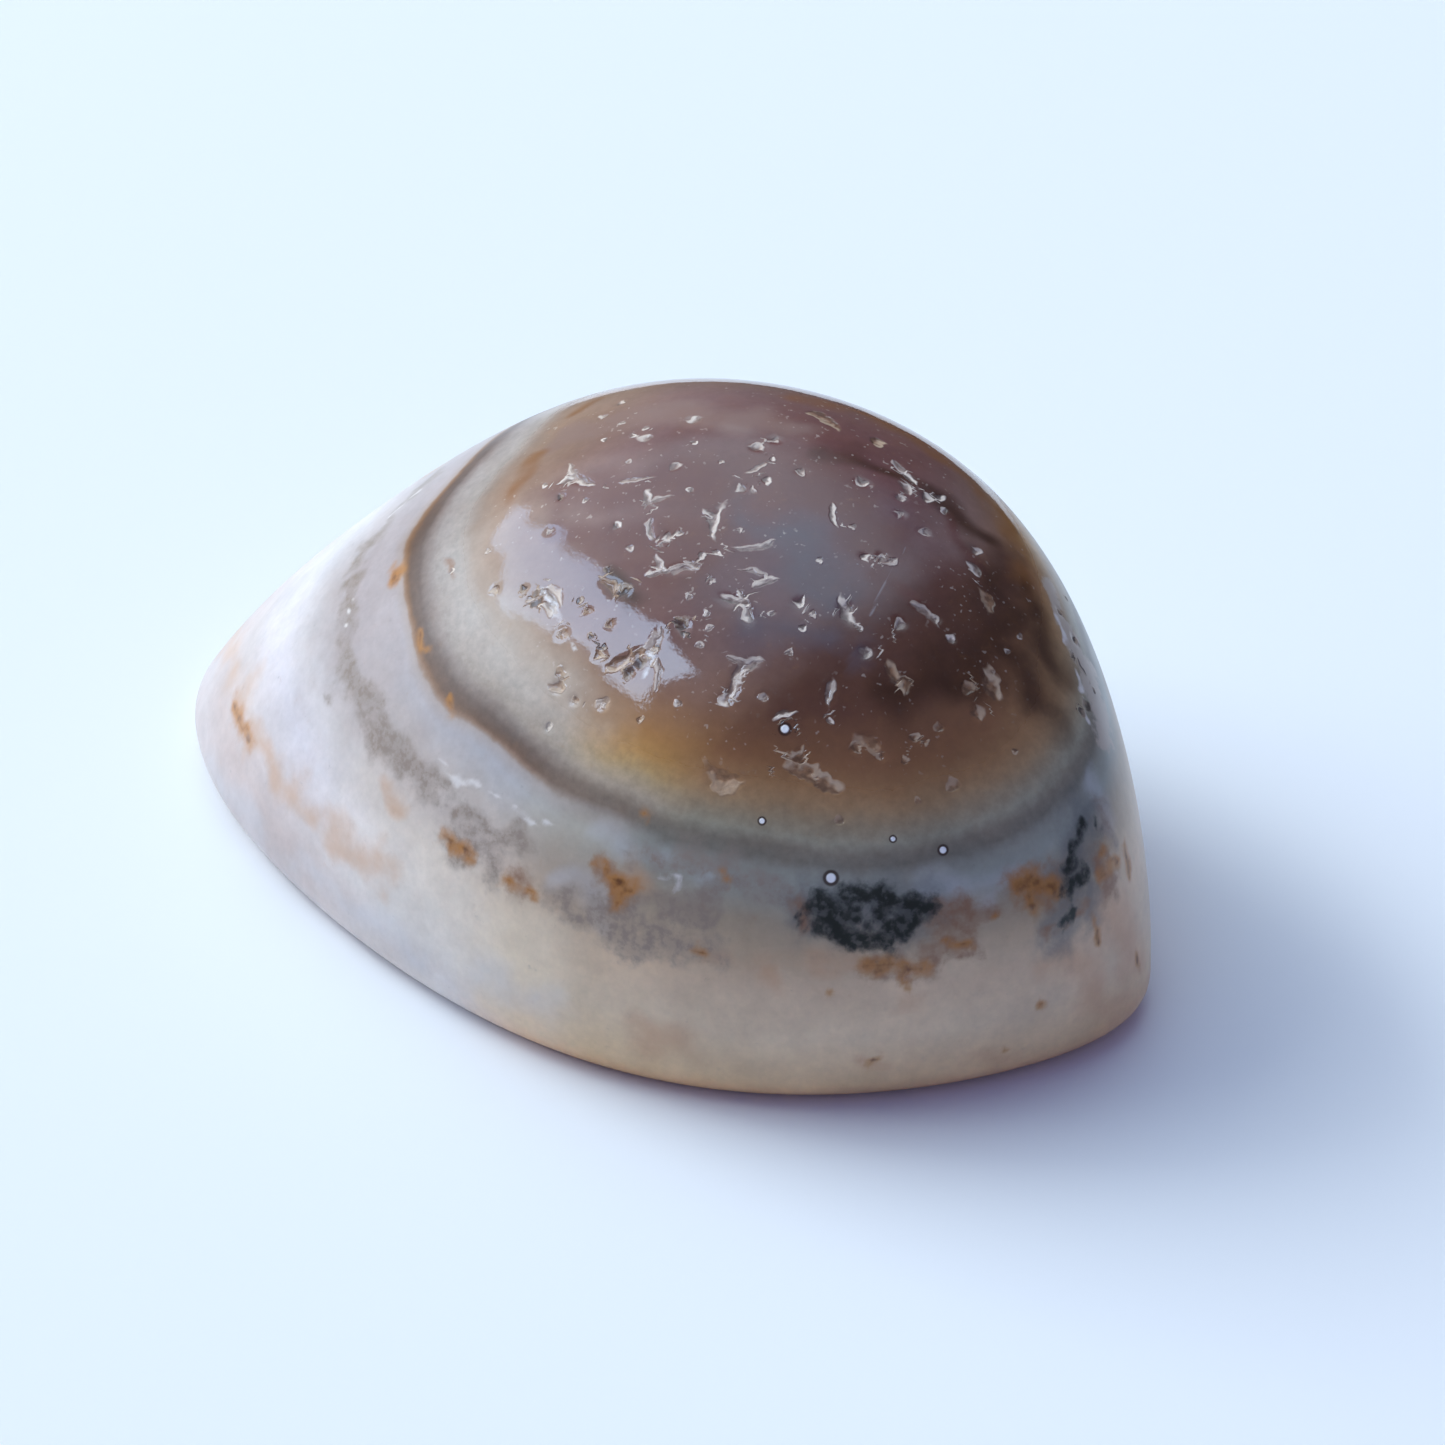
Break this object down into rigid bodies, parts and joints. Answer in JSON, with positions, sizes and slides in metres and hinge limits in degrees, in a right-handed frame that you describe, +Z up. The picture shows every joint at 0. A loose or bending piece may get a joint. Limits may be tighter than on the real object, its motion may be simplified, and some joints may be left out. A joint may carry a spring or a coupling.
{
  "type": "eye agate",
  "caption": "Polished eye agate: a high almond-shaped dome of milky banded stone with a brown ringed eye, resting on its flat base.",
  "frame": {"origin": "under the middle of the stone's outline, on the plane it rests on", "axes": "+X along the length towards the narrower tip, +Y across, towards the side the top leans to, +Z up"},
  "size_m": [0.02, 0.013, 0.0086],
  "materials": {
    "agate": "polished"
  },
  "bodies": {
    "root": {"eye_agate": "agate"}
  },
  "joints": []
}
